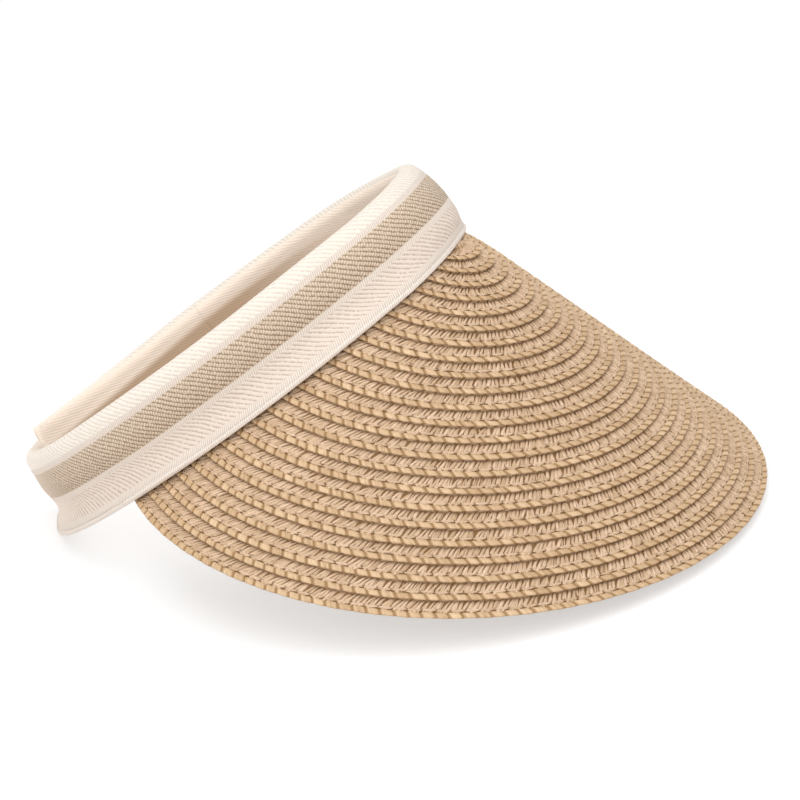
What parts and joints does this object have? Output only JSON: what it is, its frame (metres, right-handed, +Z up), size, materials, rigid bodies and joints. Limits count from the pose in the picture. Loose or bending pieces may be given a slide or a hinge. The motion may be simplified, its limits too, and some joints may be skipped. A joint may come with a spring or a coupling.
{
  "type": "sun visor",
  "caption": "Open-crown straw sun visor: a cone-shaped brim of sewn braid rows on a padded, striped hoop that springs open at the back to grip the head.",
  "frame": {"origin": "centre of the bounding box on the table that the visor stands on", "axes": "+Z up from the table, -Y towards the front of the brim, +X towards the wearer's left"},
  "size_m": [0.2148, 0.2596, 0.1208],
  "materials": {
    "straw": "braided straw, satin",
    "webbing": "striped woven webbing, matt",
    "lining": "woven tape, matt",
    "spring_strip": "plain moulded",
    "padding": "felted wadding",
    "thread": "spun thread"
  },
  "bodies": {
    "visor": {"brim_row_01": "straw", "brim_row_02": "straw", "brim_row_03": "straw", "brim_row_04": "straw", "brim_row_05": "straw", "brim_row_06": "straw", "brim_row_07": "straw", "brim_row_08": "straw", "brim_row_09": "straw", "brim_row_10": "straw", "brim_row_11": "straw", "brim_row_12": "straw", "brim_row_13": "straw", "brim_row_14": "straw", "brim_row_15": "straw", "brim_row_16": "straw", "brim_row_17": "straw", "brim_row_18": "straw", "brim_row_19": "straw", "brim_row_20": "straw", "brim_row_21": "straw", "brim_row_22": "straw", "brim_row_23": "straw", "webbing_front": "webbing", "lining_front": "lining", "spring_strip_front": "spring_strip", "padding_front": "padding", "hem_thread_front": "thread"},
    "tail_left": {"webbing_tail_left": "webbing", "lining_tail_left": "lining", "spring_strip_tail_left": "spring_strip", "padding_tail_left": "padding", "hem_thread_tail_left": "thread"},
    "tail_right": {"webbing_tail_right": "webbing", "lining_tail_right": "lining", "spring_strip_tail_right": "spring_strip", "padding_tail_right": "padding", "hem_thread_tail_right": "thread"}
  },
  "joints": [
    {"name": "arm_flex_left", "type": "hinge", "parent": "visor", "child": "tail_left", "pos_m": [0.06024, 0.06889, 0.02945], "axis": [0, -0.5149, -0.8573], "range_deg": [-2, 18], "stiffness_Nm_per_rad": 0.4},
    {"name": "arm_flex_right", "type": "hinge", "parent": "visor", "child": "tail_right", "pos_m": [-0.06024, 0.06889, 0.02945], "axis": [0, 0.5149, 0.8573], "range_deg": [-2, 18], "stiffness_Nm_per_rad": 0.4}
  ]
}
